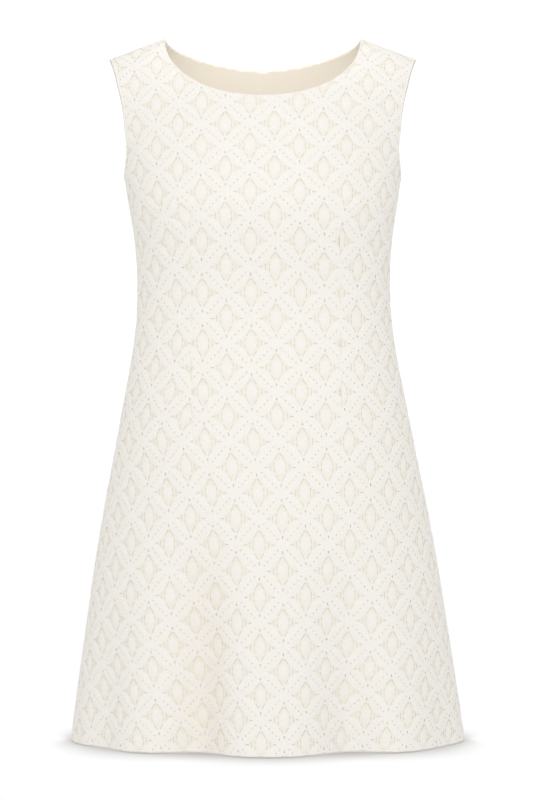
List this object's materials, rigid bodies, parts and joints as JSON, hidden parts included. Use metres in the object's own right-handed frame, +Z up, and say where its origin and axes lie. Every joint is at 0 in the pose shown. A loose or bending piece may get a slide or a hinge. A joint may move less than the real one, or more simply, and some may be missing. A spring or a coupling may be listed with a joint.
{
  "type": "sleeveless a-line lace dress",
  "caption": "Sleeveless A-line mini dress of ivory circle lace over a beige lining, with a round neck and a softly folding flared skirt.",
  "frame": {"origin": "midway between the two shoulder seams, at the height of their middles, where a wearer's shoulders hold the dress", "axes": "+Z up along the dress, -Y out of the front, +X to the right of someone who looks at the front"},
  "size_m": [0.4728, 0.3175, 0.838],
  "materials": {
    "lace": "matte",
    "lining": "matte"
  },
  "bodies": {
    "root": {"lace_front": "lace", "lace_back": "lace", "lining_front": "lining", "lining_back": "lining", "hem_front": "lace", "hem_back": "lace"}
  },
  "joints": []
}
